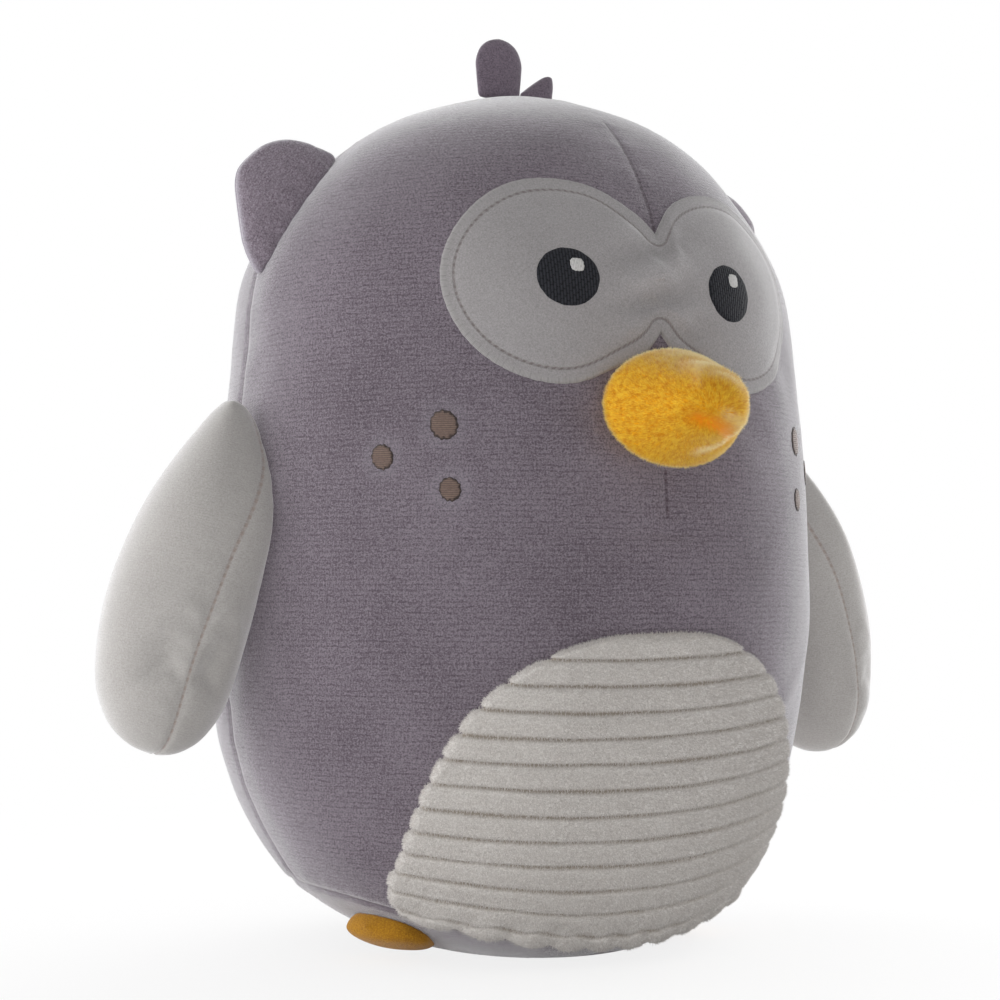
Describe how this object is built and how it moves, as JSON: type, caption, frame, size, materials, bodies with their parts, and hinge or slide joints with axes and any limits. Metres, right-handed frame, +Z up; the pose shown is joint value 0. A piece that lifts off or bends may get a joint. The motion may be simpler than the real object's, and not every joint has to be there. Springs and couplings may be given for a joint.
{
  "type": "plush owl",
  "caption": "Egg-shaped stuffed plush owl with joined round eye patches, a soft cone beak, a ribbed belly patch, hanging wings, ears, feet and a felt crest.",
  "frame": {"origin": "centre of the flat under the body, on the surface that it rests on", "axes": "+Z up; the owl looks along -Y, so its own left is +X"},
  "size_m": [0.2546, 0.1996, 0.2638],
  "materials": {
    "cream_fleece": "ribbed fleece, matt",
    "dark_plush": "short-pile plush, matt",
    "grey_plush": "short-pile knitted plush, matt with a soft sheen",
    "navy_thread": "satin stitch",
    "orange_plush": "short-pile plush, matt",
    "taupe_thread": "satin stitch",
    "white_fibre": "loose polyester filling",
    "white_plush": "short-pile plush, matt with a soft sheen",
    "white_thread": "satin stitch",
    "yellow_plush": "longer-pile plush, matt"
  },
  "bodies": {
    "trunk": {"front_panel": "grey_plush", "back_panel_left": "grey_plush", "back_panel_right": "grey_plush", "base_panel": "grey_plush", "body_stuffing": "white_fibre", "eye_patch": "white_plush", "eye_patch_border": "white_plush", "belly_patch": "cream_fleece", "beak_upper": "yellow_plush", "beak_lower": "yellow_plush", "beak_stuffing": "white_fibre", "pupil_right": "navy_thread", "highlight_right": "white_thread", "cheek_spot_upper_right": "taupe_thread", "cheek_spot_outer_right": "taupe_thread", "cheek_spot_lower_right": "taupe_thread", "ear_right_front": "grey_plush", "ear_right_back": "grey_plush", "ear_right_stuffing": "white_fibre", "foot_right_top": "orange_plush", "foot_right_sole": "orange_plush", "foot_right_stuffing": "white_fibre", "pupil_left": "navy_thread", "highlight_left": "white_thread", "cheek_spot_upper_left": "taupe_thread", "cheek_spot_outer_left": "taupe_thread", "cheek_spot_lower_left": "taupe_thread", "ear_left_front": "grey_plush", "ear_left_back": "grey_plush", "ear_left_stuffing": "white_fibre", "foot_left_top": "orange_plush", "foot_left_sole": "orange_plush", "foot_left_stuffing": "white_fibre"},
    "wing_right": {"wing_right_outer": "white_plush", "wing_right_inner": "white_plush", "wing_right_stuffing": "white_fibre"},
    "wing_left": {"wing_left_outer": "white_plush", "wing_left_inner": "white_plush", "wing_left_stuffing": "white_fibre"},
    "crest_tall": {"crest_tall": "dark_plush"},
    "crest_short": {"crest_short": "dark_plush"}
  },
  "joints": [
    {"name": "wing_right_lift", "type": "hinge", "parent": "trunk", "child": "wing_right", "pos_m": [-0.09123, -0.00368, 0.15], "axis": [0.1736, 0.9848, 0], "range_deg": [0, 75]},
    {"name": "wing_left_lift", "type": "hinge", "parent": "trunk", "child": "wing_left", "pos_m": [0.09197, -0.00355, 0.14311], "axis": [0.1736, -0.9848, 0], "range_deg": [0, 75]},
    {"name": "crest_tall_bend", "type": "hinge", "parent": "trunk", "child": "crest_tall", "pos_m": [-0.0058, 0, 0.2486], "axis": [1, 0, 0], "range_deg": [-25, 25], "stiffness_Nm_per_rad": 0.002},
    {"name": "crest_short_bend", "type": "hinge", "parent": "trunk", "child": "crest_short", "pos_m": [0.0071, 0, 0.2486], "axis": [1, 0, 0], "range_deg": [-25, 25], "stiffness_Nm_per_rad": 0.002}
  ]
}
